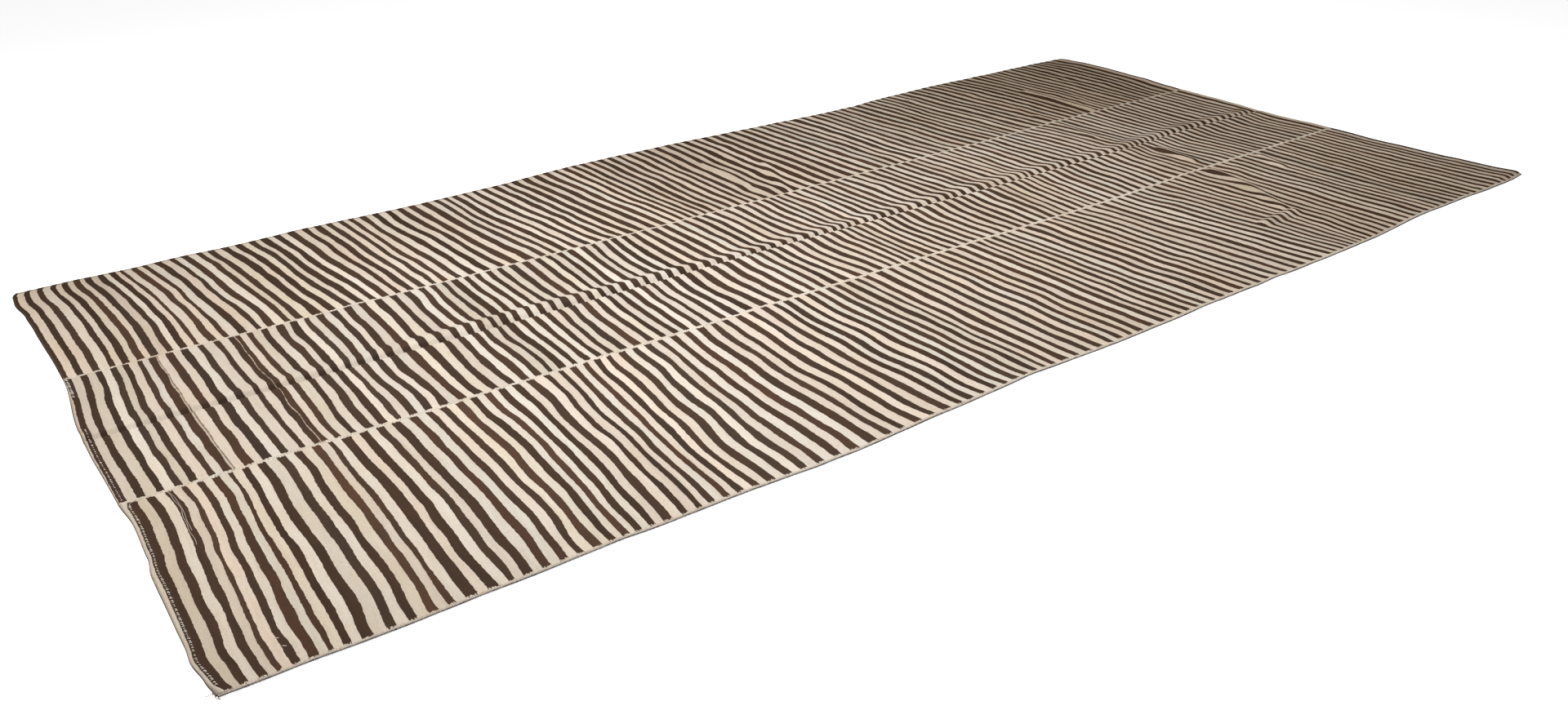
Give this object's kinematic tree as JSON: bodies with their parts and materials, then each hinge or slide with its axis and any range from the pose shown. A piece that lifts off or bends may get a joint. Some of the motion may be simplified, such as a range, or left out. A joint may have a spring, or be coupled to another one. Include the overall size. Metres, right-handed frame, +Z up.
{
  "type": "flat-woven striped kilim rug",
  "caption": "Large striped flat-woven kilim sewn from loomed strips, lying flat with a lengthways fold crease and bound long edges.",
  "frame": {"origin": "on the floor under the middle of the rug's box", "axes": "+X along the rug's length to its right end, +Y across it from the near long edge to the far one, +Z up"},
  "size_m": [4.1254, 2.0499, 0.0142],
  "materials": {
    "striped_wool": "dry hand-spun wool flat weave, weft-faced, with dark brown and ivory stripes",
    "binding_yarn": "overcast ivory wool yarn"
  },
  "bodies": {
    "root": {"panel_near": "striped_wool", "panel_middle": "striped_wool", "panel_far": "striped_wool", "binding_near": "binding_yarn", "binding_far": "binding_yarn"}
  },
  "joints": []
}
